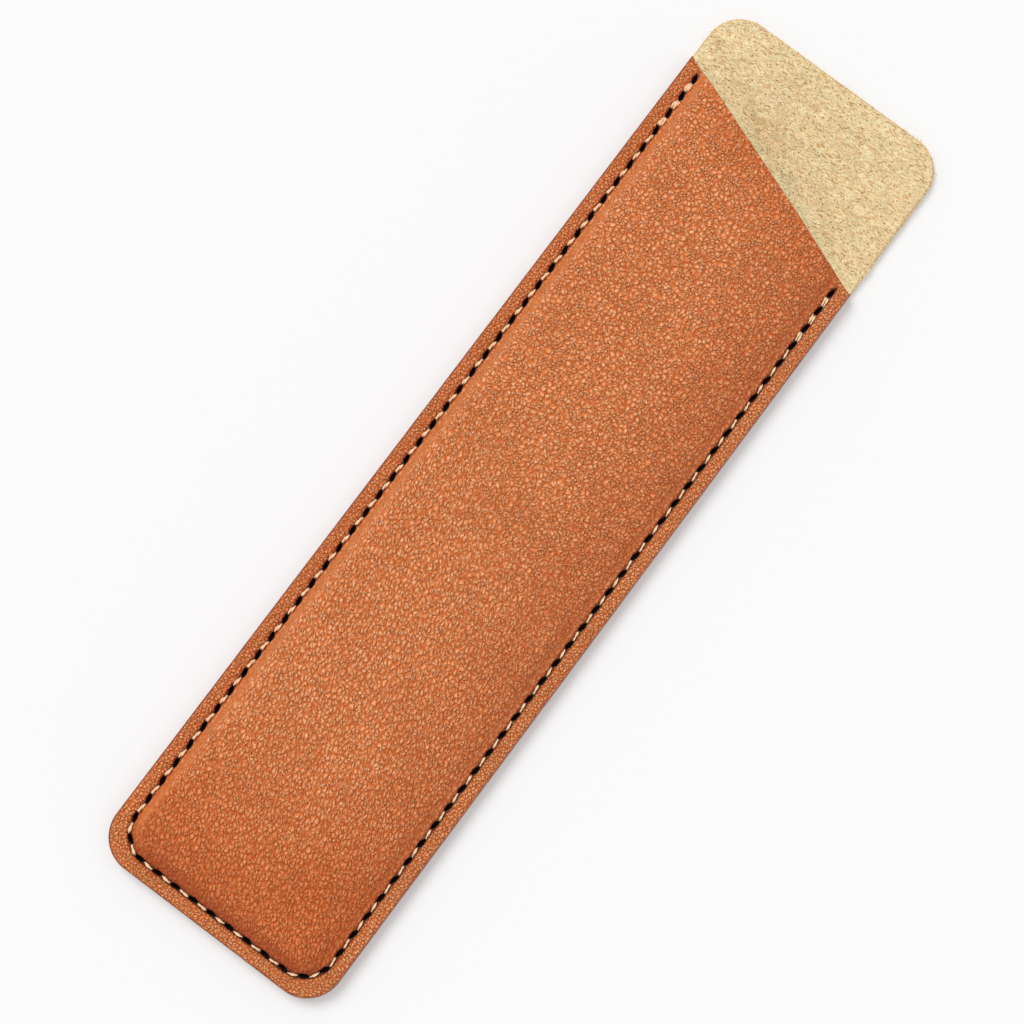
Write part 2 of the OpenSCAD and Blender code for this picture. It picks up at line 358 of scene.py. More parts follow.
def crown_height(x, y, inset):
    """Height of the crown above the border, for a crease that lies `inset` mm inside the edge."""
    half = HALF_W - inset
    sides = [
        rise(x + half, 2 * half * LEFT_SHARE, *STEEP),
        rise(half - x, 2 * half * RIGHT_SHARE, *SLOW),
        rise(y + HALF_L - inset, END_RISE, *SLOW),
    ]
    lowest = sum(np.maximum(side, LOWEST_RISE) ** -SHARPNESS for side in sides) - (len(sides) - 1)
    _, offset = seam_coords(x, y)
    start = rise(offset - (inset - SEAM_MARGIN), START_W, *START)
    return ARCH_H * lowest ** (-1 / SHARPNESS) * start


def slant_of(s):
    """The seam is sewn as a mirror image on its two sides, so its slant changes along the end."""
    return np.interp(s, [ends[1], ends[2]], [1.0, -1.0])


def hole_depth(s, offset):
    """0 outside the awl holes, 1 inside them."""
    hole = np.clip(np.round(s / pitch), 0, STITCHES)
    along = s - hole * pitch
    turn = HOLE_SLANT * slant_of(s)
    u = along * np.cos(turn) + offset * np.sin(turn)
    v = offset * np.cos(turn) - along * np.sin(turn)
    half = HOLE_HALF_W * (1 - np.clip(u / HOLE_HALF_L, -1, 1) ** 2)
    return smooth(-0.1, 0.08, half - np.abs(v)) * (np.abs(u) < HOLE_HALF_L + 0.1)


def along_seam(s, past):
    """1 along the seam and up to `past` mm beyond its ends, and 0 further out."""
    return smooth(-past - FADE, -past, s) * (1 - smooth(seam_l + past, seam_l + past + FADE, s))


def channel_shape(s, offset):
    """0 away from the stitches, 1 at the bottom of the channel that they are pressed into."""
    between = 0.75 + 0.25 * np.cos(2 * np.pi * s / pitch)
    return hump(offset, 0, CHANNEL_W / 2, 4) * along_seam(s, 0.9) * between


print(f"{STITCHES + 1} awl holes, {2 * HOLE_HALF_L:.2f} by {2 * HOLE_HALF_W:.2f} mm")

# %% Lay the front panel's grid
FRONT_STEPS = 739
columns = mirrored(spaced([0, 0.5, 1.4, 5.0, PANEL[0]], [0.08, 0.22, 0.12, 0.2]), PANEL[0])
low_rows = spaced([0, 0.5, 1.4, 4.6], [0.08, 0.22, 0.12])
high_rows = spaced([0, 1.2, 1.6], [0.2, 0.1])
cut_y = mouth_y(columns)
cut_y = cut_y - CUT_LEAN * crown_height(columns, cut_y, CREASE_INSET)
cut_y = cut_y - CUT_DIP * smooth(4, HALF_W, columns)
y = rows_between(end_y(columns, *PANEL), cut_y, low_rows, FRONT_STEPS, high_rows)
x = np.broadcast_to(columns, y.shape)

s, offset = seam_coords(x, y)
edge = edge_distance(x, y, *PANEL)
from_mouth = (cut_y - y) * math.cos(math.atan(MOUTH_SLOPE))
print(f"front panel: {y.shape[0]} rows of {y.shape[1]} points")

# %% Add up the heights
# Height of the grain, room for the waves under the solid's top, and the thinnest wall
GRAIN_H, WAVE_ROOM, THINNEST = 0.08, 0.08, 0.25
# The beads' mean height, and how far slow waves push the beads about
GRAIN_MIDDLE, PUSHED = 0.6, 0.3

crown = crown_height(x, y, CREASE_INSET)
pit = hole_depth(s, offset)
uneven = 0.10 * ripple(x, y, 9.0, 1) + 0.05 * ripple(x, y, 3.1, 2)
on_crown = smooth(0.5, 4.0, offset - 0.9)
z = TOP_Z + crown - taken_off(edge, EDGE_ROUND) - taken_off(from_mouth, CUT_ROUND)
z += uneven * (0.25 + 0.75 * on_crown) - WAVE_ROOM
z -= CHANNEL_DEPTH * channel_shape(s, offset) + HOLE_DEPTH * pit

pushed_x = x + PUSHED * ripple(x, y, 2.1, 11)
pushed_y = y + PUSHED * ripple(x, y, 2.1, 12)
round_grain = beads(pushed_x, pushed_y, 0.95, 1.0, 8, 21)
long_grain = beads(pushed_x, pushed_y, 0.75, 1.7, -12, 22)
fine_grain = beads(pushed_x, pushed_y, 0.5, 0.5, 0, 23)
to_end = smooth(25, -35, y + 12 * ripple(x, y, 14, 13) + 0.6 * x)
drawn_out = smooth(0.4, 0.6, to_end + 0.5 * ripple(x, y, 1.8, 14))
grain = round_grain * (1 - drawn_out) + long_grain * drawn_out
in_border = 1 - smooth(-0.4, 1.2, offset)
grain = grain * (1 - in_border) + fine_grain * in_border
z += GRAIN_H * (grain - GRAIN_MIDDLE) * (1 - 0.75 * hump(offset, 1.2, 0.6))
z = np.maximum(z, SEAM_Z + HOLE_FLOOR)
top = np.stack([x, y, z], -1)

inner = crown_height(x, y, CREASE_INSET + CREASE_WALL)
under_z = np.maximum(np.minimum(SEAM_Z + inner, z - THINNEST), SEAM_Z)
under_y = y + CUT_LEAN * (z - under_z) * smooth(1.0, 0.0, from_mouth) * (crown > 0)
under = np.stack([x, under_y, under_z], -1)
print(f"crown {crown.max():.2f} mm, holes down to {z.min() - SEAM_Z:.2f} mm above the seam")

# %% Mark the zones and close the skin
crease = hump(offset, 1.15, 0.75) * (offset > 0.2)
past_left = smooth(ends[0], ends[1], s)
# Painted shade in a band beside the channel at the closed end and the far side, where the crown's
# wall turns away from the light
fold_shade_share = np.interp(s, ends[:4], [0.0, 1.0, 1.0, 0.45])
fold_shade = hump(np.maximum(offset - 0.5, 0), 0, 1.6) * fold_shade_share * (offset > -0.4)
# Painted shade in the channel beside the stitches
channel_shade_w = np.interp(s, ends[:4], [0.4, 0.42, 0.45, 0.48])
channel_shade = hump(offset, 0, channel_shade_w, 4) * along_seam(s, 0.8)
border = 1 - smooth(-0.2, 0.7, offset)
# Painted shade towards the closed end and the far side, and a darker colour near the mouth and
# along the left border
shade_and_darkening = smooth(36, 2, y + HALF_L) * smooth(-1.6, 0.8, offset)
shade_and_darkening = shade_and_darkening + (0.4 * smooth(2, 14, x) + 0.3 * smooth(8, 0, from_mouth)) * (1 - border)
shade_and_darkening = np.maximum(np.clip(shade_and_darkening, 0, 1), 0.15 * border * smooth(4, -4, x))
zones = [
    ("crease", crease * (1 - past_left)),
    ("fold_shade", fold_shade),
    ("calm", crease),
    ("channel_shade", channel_shade),
    ("border", border),
    ("shade_and_darkening", shade_and_darkening),
    ("pit", pit),
    ("to_end", to_end),
]
front = closed_skin("front_leather", top, under, zones)

step_x = np.diff(x, axis=1)
slope = np.diff(crown, axis=1) / np.maximum(step_x, 1e-6)
arc = np.cumsum(np.hypot(1, slope) * step_x, axis=1)
arc = np.concatenate([0 * x[:, :1], arc], axis=1)
flat = np.stack([arc - arc[:, -1:] / 2, y, 0 * x], -1).reshape(-1, 3)
lay_out(front, "flat_place", np.concatenate([flat, flat]))
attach(front, "root")
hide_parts("front_panel")
print(f"front leather: {len(front.data.vertices)} points, top at {z.max():.2f} mm")

# %% [markdown]
# ## The back panel
# The back panel lies flat with its flesh side up. Only the tab shows, so the grid is fine there and
# coarse under the front panel. Flesh side is loose fibre: the mesh gets a fine, uneven surface, and
# separate fibres are laid on it further down. The smooth grain side, with its own row of stitches,
# faces the table.

# %% Shape the back panel
BACK_STEPS = 189
BACK_ROUND = 0.3
# How far the nap's middle lies under the solid's face
NAP_ROOM = 0.1
# Depths of the channel and the holes in the face that the sleeve lies on
UNDER_CHANNEL, UNDER_PIT = 0.55, 0.3
# How far the fine rows of the tab run on under the front panel
UNDER_FRONT = 2.0

tab_start = mouth_y(HALF_W) - UNDER_FRONT
tab_l = PANEL[1] - tab_start
back_columns = mirrored(spaced([0, 0.5, 1.6, 3.6, PANEL[0]], [0.1, 0.27, 0.2, 0.3]), PANEL[0])
back_low_rows = spaced([0, 0.5, 1.6, 3.6], [0.12, 0.3, 0.2])
tab_rows = spaced([0, tab_l - 0.6, tab_l], [0.3, 0.12])
by_low = end_y(back_columns, *PANEL)
by = rows_between(by_low, -by_low, back_low_rows, BACK_STEPS, tab_rows)
bx = np.broadcast_to(back_columns, by.shape)
b_s, b_offset = seam_coords(bx, by)

tab = smooth(-1.0, 1.5, by - mouth_y(bx))
nap = 0.03 * ripple(bx, by, 0.9, 5) + 0.04 * ripple(bx, by, 4.0, 6)
b_round = taken_off(edge_distance(bx, by, *PANEL), BACK_ROUND)
b_top = np.stack([bx, by, BACK_TOP + (nap - NAP_ROOM - b_round) * tab], -1)
groove = UNDER_CHANNEL * channel_shape(b_s, b_offset) + UNDER_PIT * hole_depth(b_s, b_offset)
b_under = np.stack([bx, by, groove + b_round], -1)

# Painted light on the tab beside the mouth, which lifts the shade of the crown's open mouth
painted_light_by_mouth = hump(by, mouth_y(bx), 2.2)
stain = hump(bx, -7, 6) * hump(by, 68, 4)
b_zones = [("grain_side", 0 * tab), ("painted_light_by_mouth", painted_light_by_mouth), ("stain", stain)]
back = closed_skin("back_leather", b_top, b_under, b_zones, 1.0)
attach(back, "root")
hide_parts("back_panel")
print(f"back leather: {len(back.data.vertices)} points")

# %% [markdown]
# ## The dressed edge
# The cut edge is bevelled, dyed and rubbed with wax until it is round and shiny. It is one band
# that follows the outline. Where the two panels are sewn together it is two leathers high, and
# beside the tab only one, so its section changes height at both ends of the mouth.

# %% Follow the outline
STATION_STEP = 0.5
# Small steps where the height changes at the mouth
MOUTH_STEP = 0.06
# How far the band stays under the border, and under the nap beside the tab
UNDER_BORDER, UNDER_NAP = 0.1, 0.18

straight_w, straight_l = 2 * (HALF_W - CORNER_R), 2 * (HALF_L - CORNER_R)
quarter = CORNER_R * math.pi / 2
around = np.cumsum([straight_l, quarter, straight_w, quarter] * 2)


def outline_place(t, inset):
    """Places at length t round the outline, starting up the right side, moved in by `inset`."""
    starts = np.concatenate([[0], around[:-1]])
    part = np.minimum(np.searchsorted(around, t, side="right"), len(around) - 1)
    u = t - starts[part]
    angle = np.where(part % 2 == 1, u / CORNER_R, 0) + (part // 2) * math.pi / 2
    x1, y1, r = HALF_W - CORNER_R, HALF_L - CORNER_R, CORNER_R - inset
    cx = np.choose(part, [x1, x1, x1 - u, -x1, -x1, -x1, u - x1, x1])
    cy = np.choose(part, [u - y1, y1, y1, y1, y1 - u, -y1, -y1, -y1])
    return cx + r * np.cos(angle), cy + r * np.sin(angle)


mouth_right_t = mouth_y(HALF_W) + HALF_L - CORNER_R
mouth_left_t = around[3] + HALF_L - CORNER_R - mouth_y(-HALF_W)
steps = [t + k * MOUTH_STEP for t in (mouth_right_t, mouth_left_t) for k in (-2, -1, 0, 1)]
stations = np.unique(np.concatenate([np.arange(0, around[-1], STATION_STEP), steps]))
by_right_side = stations <= mouth_right_t - MOUTH_STEP / 2
sewn = by_right_side | (stations >= mouth_left_t - MOUTH_STEP / 2)
height = np.where(sewn, TOP_Z - UNDER_BORDER, BACK_TOP - UNDER_NAP)
print(f"edge band: {around[-1]:.0f} mm round, {len(stations)} stations")

# %% Round its section
SECTION_POINTS = 15
# How far the round section curls in, and how much further in its hidden side lies
CURL, HIDDEN = 0.16, 0.35
# The band's gap to the table, and what it loses of its height in all
BAND_LOW, BAND_LOSS = 0.06, 0.09


def ring(inset, level):
    """The band's places all the way round, at one level from 0 at the bottom to 1 at the top."""
    px, py = outline_place(stations, inset)
    return np.stack([px, py, BAND_LOW + (height - BAND_LOSS) * level], -1)


turns = np.radians(np.linspace(90, -90, SECTION_POINTS))
insets = CURL * (1 - np.cos(turns)) * 0.9
levels = 0.5 + 0.5 * np.sign(turns) * np.abs(np.sin(turns)) ** 0.55
wobble = np.maximum(0.02 * ripple(stations, 0 * stations, 2.3, 9), 0)
rings = [ring(inset + wobble, level) for inset, level in zip(insets, levels)]
rings += [ring(CURL + HIDDEN, level) for level in (0.12, 0.5, 0.88)]
rings = np.array(rings)
grid = np.arange(rings[..., 0].size).reshape(rings.shape[:2])
right_of, below = np.roll(grid, -1, 1), np.roll(grid, -1, 0)
band_faces = np.stack([grid, below, np.roll(below, -1, 1), right_of], -1).reshape(-1, 4)
band = mesh_object("dressed_edge", rings.reshape(-1, 3) * MM, band_faces)
draw_on(band, "bare", np.tile(1.0 - sewn, len(rings)))
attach(band, "root")
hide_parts("edge_skin")
print(f"dressed edge: {len(band.data.vertices)} points")

# %% [markdown]
# ## The thread
# Saddle stitch is sewn with one thread and a needle at each end. The two passes take turns, so a
# stitch shows in every gap on both faces, and in each hole the passes change sides, which slants
# the stitches. Each pass is two plies twisted together. A curve object could draw it, but here the
# squeeze inside the holes and the swell between them need a radius for every point, so the tubes
# are worked out directly.


# %% Tubes from paths
THREAD_SIDES = 8


def tube(path, side, radius, sides=THREAD_SIDES):
    """Places and faces of a closed tube. `side` is a direction across the path at each point."""
    way = np.gradient(path, axis=0)
    way /= np.linalg.norm(way, axis=1)[:, None]
    up = np.cross(side, way)
    up /= np.linalg.norm(up, axis=1)[:, None]
    across = np.cross(way, up)
    a = np.linspace(0, 2 * np.pi, sides, endpoint=False)[None, :, None]
    ring = np.cos(a) * across[:, None] + np.sin(a) * up[:, None]
    places = (path[:, None] + ring * radius[:, None, None]).reshape(-1, 3)
    grid = np.arange(len(places)).reshape(len(path), sides)
    turned = np.roll(grid, -1, 1)
    faces = np.stack([grid[:-1], turned[:-1], turned[1:], grid[1:]], -1).reshape(-1, 4)
    lid = np.array([[0, k + 2, k + 1, k] for k in range(1, sides - 2, 2)])
    return places, np.concatenate([faces, grid[0][lid], grid[-1][lid[:, ::-1]]])


# %% Lay the two passes
# Radius of a ply, how far apart two plies lie as a share of it, and the length of one full twist
PLY_R, PLY_SPREAD, TWIST_L = 0.135, 0.85, 2.4
# Points in each gap, the length of stitch inside each hole, and how squarely a stitch rises
PER_GAP, KNEE, RISE = 26, 0.64, 0.25
# Levels of the stitches on the two faces, and where they change sides inside a hole
THREAD_TOP, THREAD_BELOW, HOLE_Z = TOP_Z - 0.03, 0.32, 1.3
# How far a stitch leans, the stitches locked at each end and how far those two strands part
SIDE_SHIFT, LOCKED, FIRST_SHIFT, LOCK_SHIFT = 0.15, 3, -0.18, 0.2
# Swell of a stitch at its ends and what its middle adds
SWELL_LOW, SWELL_MORE = 0.48, 0.64


def stitch_path(gaps, in_front, shift=0.0):
    """Centre places, side directions and swell of the stitches over these gaps, in sewing order."""
    t = np.arange(len(gaps) * PER_GAP + 1) / PER_GAP
    which = np.minimum(t.astype(int), len(gaps) - 1)
    u = (1 - np.cos(np.pi * (t - which))) / 2
    s = np.asarray(gaps)[which] * pitch + KNEE + u * (pitch - 2 * KNEE)
    front_side = np.asarray(in_front)[which]
    arch = np.clip(np.sin(np.pi * u), 0, 1)
    crest = np.where(front_side, THREAD_TOP - HOLE_Z, THREAD_BELOW - HOLE_Z)
    lean = SIDE_SHIFT * (1 - 2 * u) * np.where(front_side, 1, -1) * slant_of(s)
    x, y, turn = seam_place(s, lean + shift * arch**RISE)
    belly = np.clip(np.sin(np.pi * u**1.25) ** 0.9, 0, 1)
    pulled = np.interp(s, ends[:4], [1.02, 0.86, 0.76, 0.68])
    centre = np.stack([x, y, HOLE_Z + crest * arch**RISE], -1)
    side = np.stack([-np.sin(turn), np.cos(turn), 0 * turn], -1)
    return centre, side, (SWELL_LOW + SWELL_MORE * belly) * pulled


def plies(centre, side, swell, start):
    """Two plies twisted round each other along a path, and for each how far down in a hole it is,
    for the painted shade there.
    """
    way = np.gradient(centre, axis=0)
    step = np.linalg.norm(way, axis=1)
    up = np.cross(side, way / step[:, None])
    angle = start + 2 * np.pi * np.cumsum(step) / TWIST_L
    below_face = smooth(TOP_Z - 0.14, TOP_Z - 0.34, centre[:, 2])
    shade_in_hole = below_face * smooth(0.4, 0.65, centre[:, 2])
    made = []
    for phase in (0, np.pi):
        a = (angle + phase)[:, None]
        spread = PLY_R * PLY_SPREAD * swell[:, None]
        path = centre + spread * (np.cos(a) * side + np.sin(a) * up)
        made.append(tube(path, side, PLY_R * swell))
    return made, [shade_in_hole] * len(made)


def joined(parts):
    """One array of places and one of faces from many parts."""
    starts = np.cumsum([0] + [len(places) for places, _ in parts[:-1]])
    faces = [part_faces + start for (_, part_faces), start in zip(parts, starts)]
    return np.concatenate([places for places, _ in parts]), np.concatenate(faces)


strands, depths = [], []
gaps = np.arange(STITCHES)
locked = (gaps < LOCKED) | (gaps >= STITCHES - LOCKED)
for first_in_front in (True, False):
    in_front = (gaps % 2 == 0) == first_in_front
    shift = np.repeat(np.where(locked & in_front, FIRST_SHIFT, 0.0), PER_GAP)
    path = stitch_path(gaps, in_front, np.append(shift, shift[-1]))
    tubes, shade_in_hole = plies(*path, 0.7 if first_in_front else 2.1)
    strands += tubes
    depths += shade_in_hole
for gap in gaps[locked]:
    tubes, shade_in_hole = plies(*stitch_path([gap], [True], LOCK_SHIFT), 1.3 * gap)
    strands += tubes
    depths += shade_in_hole
thread_places, thread_faces = joined(strands)
thread = mesh_object("waxed_thread", thread_places * MM, thread_faces)
draw_on(thread, "shade_in_hole", np.repeat(np.concatenate(depths), THREAD_SIDES))
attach(thread, "root")
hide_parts("saddle_stitch_thread")
print(f"thread: {len(strands)} plies, {len(thread.data.vertices)} points")

# %% [markdown]
# ## Loose fibres
# On the flesh side some fibres have come free and lie on the surface like short hairs, and a few
# stick out past the cut edge. A hair particle system could grow them, but hair isn't exported as a
# solid, so each fibre is a thin four-sided tube. They lie mostly across the tab, in slow swirls.

# %% Lay the loose fibres
# Fibres on the tab and past its edge, and the points and sides of each one's tube
FIBRES, EDGE_FIBRES = 2200, 160
FIBRE_POINTS, FIBRE_SIDES = 6, 4
# How far the fibres on the tab keep from its edge and from the mouth
CLEAR = 0.5
# Where the edge's fibres start inside the outline, how they lift and how far from the mouth
EDGE_ROOT, EDGE_LIFT, EDGE_CLEAR = 0.3, 0.02, 1.0
luck = np.random.default_rng(31)


def fibre(x, y, heading, bend, length, radius, lift):
    """One curved fibre that lies on the tab, as a tube."""
    t = np.linspace(0, 1, FIBRE_POINTS)
    a = heading + bend * (t - 0.5)
    px = x + np.cumsum(np.cos(a)) * length / FIBRE_POINTS
    py = y + np.cumsum(np.sin(a)) * length / FIBRE_POINTS
    pz = BACK_TOP - NAP_ROOM + radius * 0.6 + lift * np.sin(np.pi * t)
    path = np.stack([px, py, pz], -1)
    side = np.stack([-np.sin(a), np.cos(a), 0 * a], -1)
    return tube(path, side, radius * (1.05 - (2 * t - 1) ** 4), FIBRE_SIDES)


tab_x = luck.uniform(-HALF_W + CLEAR, HALF_W - CLEAR, 6 * FIBRES)
tab_y = luck.uniform(tab_start, HALF_L - CLEAR, 6 * FIBRES)
inside = edge_distance(tab_x, tab_y, HALF_W, HALF_L, CORNER_R) > CLEAR
free = np.flatnonzero(inside & (tab_y > mouth_y(tab_x) + CLEAR))[:FIBRES]
strands, browns = [], []
for fx, fy in zip(tab_x[free], tab_y[free]):
    heading = 0.5 * ripple(fx, fy, 6.0, 41) + luck.normal(0, 0.5)
    size = luck.uniform(0.03, 0.055)
    bend, length, lift = luck.normal(0, 0.9), luck.uniform(0.5, 1.5), luck.uniform(0, 0.06)
    strands.append(fibre(fx, fy, heading, bend, length, size, lift))
    browns.append(luck.uniform())
for t in luck.uniform(mouth_right_t + EDGE_CLEAR, mouth_left_t - EDGE_CLEAR, EDGE_FIBRES):
    (fx, fy), (out_x, out_y) = outline_place(t, EDGE_ROOT), outline_place(t, 0.0)
    heading = math.atan2(out_y - fy, out_x - fx) + luck.normal(0, 0.6)
    bend, length, size = luck.normal(0, 0.9), luck.uniform(0.3, 0.75), luck.uniform(0.025, 0.04)
    strands.append(fibre(fx, fy, heading, bend, length, size, EDGE_LIFT))
    browns.append(luck.uniform())
fibre_places, fibre_faces = joined(strands)
fibres = mesh_object("loose_fibres", fibre_places * MM, fibre_faces)
draw_on(fibres, "brown", np.repeat(browns, FIBRE_POINTS * FIBRE_SIDES))
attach(fibres, "root")
print(f"{len(strands)} loose fibres")

# %% [markdown]
# ## Materials
# Every material here is a small net of nodes, so a helper that adds a node, sets its sockets and
# returns it keeps each one short. Patterns are measured in millimetres: object coordinates are in
# metres, and one Mapping node multiplies them by a thousand.


# %% Node helpers
# The mix node has a set of sockets for each kind of value. These belong to colours.
MIX_FACTOR, MIX_A, MIX_B, MIX_RESULT = 0, 6, 7, 2


class Net:
    """A material and the nodes in it."""

    def __init__(self, name, places=None):
        """Patterns lie in the object's own millimetres, or in those that an attribute keeps."""
        self.material = bpy.data.materials.new(name)
        self.material.use_nodes = True
        self.tree = self.material.node_tree
        self.shader = self.tree.nodes["Principled BSDF"]
        if places:
            self.mm = self.drawn(places, "Vector")
        else:
            place = self.add("ShaderNodeTexCoord").outputs["Object"]
            self.mm = self.add("ShaderNodeMapping", Vector=place, Scale=(1 / MM,) * 3).outputs[0]

    def plug(self, socket, value):
        """Link a socket to another one, or give it a plain value."""
        if isinstance(value, bpy.types.NodeSocket):
            self.tree.links.new(value, socket)
        else:
            socket.default_value = value

    def add(self, kind, **sockets):
        node = self.tree.nodes.new(kind)
        self.set(node, **sockets)
        return node

    def set(self, node, **sockets):
        for name, value in sockets.items():
            self.plug(node.inputs[name.replace("_", " ")], value)

    def reckon(self, node_kind, kind, a, b):
        node = self.tree.nodes.new(node_kind)
        node.operation = kind
        self.plug(node.inputs[0], a)
        self.plug(node.inputs[1], b)
        return node.outputs[0]

    def vector(self, kind, a, b):
        return self.reckon("ShaderNodeVectorMath", kind, a, b)

    def math(self, kind, a, b=0.0):
        return self.reckon("ShaderNodeMath", kind, a, b)

    def warped(self, scale, amount, place=None):
        """Places in mm, pushed about by slow noise, so that patterns don't look ruled."""
        place = place or self.mm
        wave = self.add("ShaderNodeTexNoise", Vector=place, Scale=scale, Detail=1.0)
        centred = self.vector("SUBTRACT", wave.outputs["Color"], (0.5, 0.5, 0.5))
        return self.vector("ADD", place, self.vector("MULTIPLY", centred, (2 * amount,) * 3))

    def stretched(self, place, stretch, turn):
        turned = self.add("ShaderNodeMapping", Vector=place, Rotation=(0, 0, turn))
        return self.add("ShaderNodeMapping", Vector=turned.outputs[0], Scale=stretch).outputs[0]

    def noise(self, scale, detail=3.0, place=None, stretch=(1, 1, 1), turn=0.0):
        place = self.stretched(place or self.mm, stretch, turn)
        node = self.add("ShaderNodeTexNoise", Vector=place, Scale=scale, Detail=detail)
        return node.outputs["Fac"]

    def cells(self, size, place=None, stretch=(1, 1, 1), turn=0.0, feature="F1"):
        """How far each place is from its cell's point, or with another feature from its border."""
        place = self.stretched(place or self.mm, stretch, turn)
        node = self.add("ShaderNodeTexVoronoi", Vector=place, Scale=1 / size)
        node.voronoi_dimensions = "2D"
        node.feature = feature
        return node.outputs["Distance"]

    def drawn(self, name, kind="Fac"):
        """An attribute that was drawn on the mesh."""
        node = self.add("ShaderNodeAttribute")
        node.attribute_name = name
        return node.outputs[kind]

    def ramp(self, value, low, high, to_low=0.0, to_high=1.0):
        """to_low up to the value low, to_high from the value high on, and a soft way between."""
        node = self.add("ShaderNodeMapRange", Value=value)
        node.interpolation_type = "SMOOTHSTEP"
        self.set(node, From_Min=low, From_Max=high, To_Min=to_low, To_Max=to_high)
        return node.outputs["Result"]

    def mix(self, factor, a, b):
        node = self.tree.nodes.new("ShaderNodeMix")
        node.data_type = "RGBA"
        for index, value in ((MIX_FACTOR, factor), (MIX_A, a), (MIX_B, b)):
            self.plug(node.inputs[index], value)
        return node.outputs[MIX_RESULT]

    def blend(self, factor, a, b):
        """One number on the way from a to b."""
        return self.math("ADD", a, self.math("MULTIPLY", factor, self.math("SUBTRACT", b, a)))

    def bump(self, height, distance, strength):
        node = self.add("ShaderNodeBump", Height=height, Distance=distance * MM, Strength=strength)
        return node.outputs["Normal"]


def colour(red, green, blue):
    """A colour written as it looks on a screen, from 0 to 255, as the linear one that nodes use."""
    shown = [v / 255 for v in (red, green, blue)]
    linear = [v / 12.92 if v <= 0.04045 else ((v + 0.055) / 1.055) ** 2.4 for v in shown]
    return (*linear, 1.0)


# %% [markdown]
# ## Grain leather
# The front is a pebbled grain, dyed brown and lightly waxed. The larger beads are in the mesh, and
# the small ones are a bump made of cells. A dome round each cell's point, the gap to the next cell
# and some noise are added up, so the beads differ in height and run together here and there. Two
# sizes of them are mixed in patches. Towards the closed end they are drawn out, beyond a ragged
# change, and in the border they are small. The pattern lies on the places in the flat hide, so
# the crown's steep side doesn't pull it long.
#
# The valleys are darker, partly in the grain's own tone and partly as painted shade, and the bead
# tops carry a painted highlight. Towards the closed end and the far side the colour gets painted
# shade, and near the mouth and along the left border it is simply darker. Where the leather was
# pulled into the crease, the grain is smooth and the dye more orange. Beside the channel, at the
# closed end and the far side, a dark band is painted shade where the crown's wall turns away from
# the light, and in the channel beside the stitches the painted shade is darker still. The awl holes
# are painted shade with some dark wax.

# %% Beads for the grain
hide = Net("grain_leather", "flat_place")
crease_at, border_at, fold_shade_at = hide.drawn("crease"), hide.drawn("border"), hide.drawn("fold_shade")
pit_at, end_at, channel_shade_at = hide.drawn("pit"), hide.drawn("to_end"), hide.drawn("channel_shade")
shade_and_darkening_at = hide.drawn("shade_and_darkening")
loose = hide.warped(3.6, 0.1, hide.warped(1.4, 0.3))


def pebbles(size, stretch=(1.0, 1.0, 1.0), turn=0.0):
    """Soft domes about `size` mm wide, some higher than others, that run into each other."""
    far = hide.cells(size, loose, stretch, turn)
    gap = hide.cells(size, loose, stretch, turn, "DISTANCE_TO_EDGE")
    lumps = hide.noise(1.2 / size, 2.0, hide.mm, stretch, turn)
    middle, rim = hide.ramp(far, 0.66, 0.04, 0.0, 0.44), hide.ramp(gap, 0.0, 0.2, 0.0, 0.24)
    return hide.math("ADD", hide.math("ADD", middle, rim), hide.ramp(lumps, 0.32, 0.68, 0.0, 0.32))


small_here = hide.ramp(hide.noise(0.7, 2.0), 0.46, 0.54)
patches = hide.math("MULTIPLY", hide.math("SUBTRACT", hide.noise(0.9, 2.0), 0.5), 1.6)
wrinkled = hide.ramp(hide.math("ADD", end_at, patches), 0.47, 0.53)
round_beads = hide.blend(small_here, pebbles(0.8), pebbles(0.5))
long_beads = hide.blend(
    small_here,
    pebbles(0.62, (1.0, 0.62, 1.0), math.radians(-14)),
    pebbles(0.44, (1.0, 0.55, 1.0), math.radians(-22)),
)
dome = hide.blend(wrinkled, round_beads, long_beads)
dome = hide.blend(border_at, dome, pebbles(0.5))
pores = hide.noise(4.5, 3.0)
print(f"grain: {len(hide.tree.nodes)} nodes")

# %% Colour and relief of the grain
VALLEY_SHADE, VALLEY, BEAD = colour(184, 76, 26), colour(222, 118, 56), colour(248, 156, 98)
GLINT, CLOUD, SPOT = colour(255, 198, 152), colour(188, 98, 44), colour(176, 80, 30)
CREASE, FOLD_SHADE, CHANNEL_SHADE = colour(202, 114, 56), colour(136, 46, 6), colour(74, 30, 14)
HOLE_SHADE_AND_WAX = colour(20, 9, 5)
# What the painted shade and the darker colour leave of red, green and blue
SHADE_AND_DARKENING_SHARE = (0.88, 0.68, 0.5)
# Valley to bead: partly the grain's own tone, partly painted shade in the valleys
tone = hide.mix(hide.ramp(dome, 0.3, 0.7), VALLEY, BEAD)
# Painted shade at the bottoms of the valleys
tone = hide.mix(hide.ramp(dome, 0.34, 0.1, 0.0, 0.5), tone, VALLEY_SHADE)
# A painted highlight on the bead tops, weaker where the colour is darker
shine = hide.math("SUBTRACT", 0.75, hide.math("MULTIPLY", shade_and_darkening_at, 0.35))
tone = hide.mix(hide.math("MULTIPLY", hide.ramp(dome, 0.62, 0.92), shine), tone, GLINT)
tone = hide.mix(hide.ramp(hide.noise(0.11, 4.0), 0.35, 0.72, 0.0, 0.2), tone, CLOUD)
tone = hide.mix(hide.ramp(pores, 0.45, 0.75, 0.0, 0.25), tone, SPOT)
# Painted shade towards the closed end and the far side, and darker colour near the mouth and left
# border
tone = hide.mix(shade_and_darkening_at, tone, hide.vector("MULTIPLY", tone, SHADE_AND_DARKENING_SHARE))
tone = hide.mix(hide.math("MULTIPLY", crease_at, 0.6), tone, CREASE)
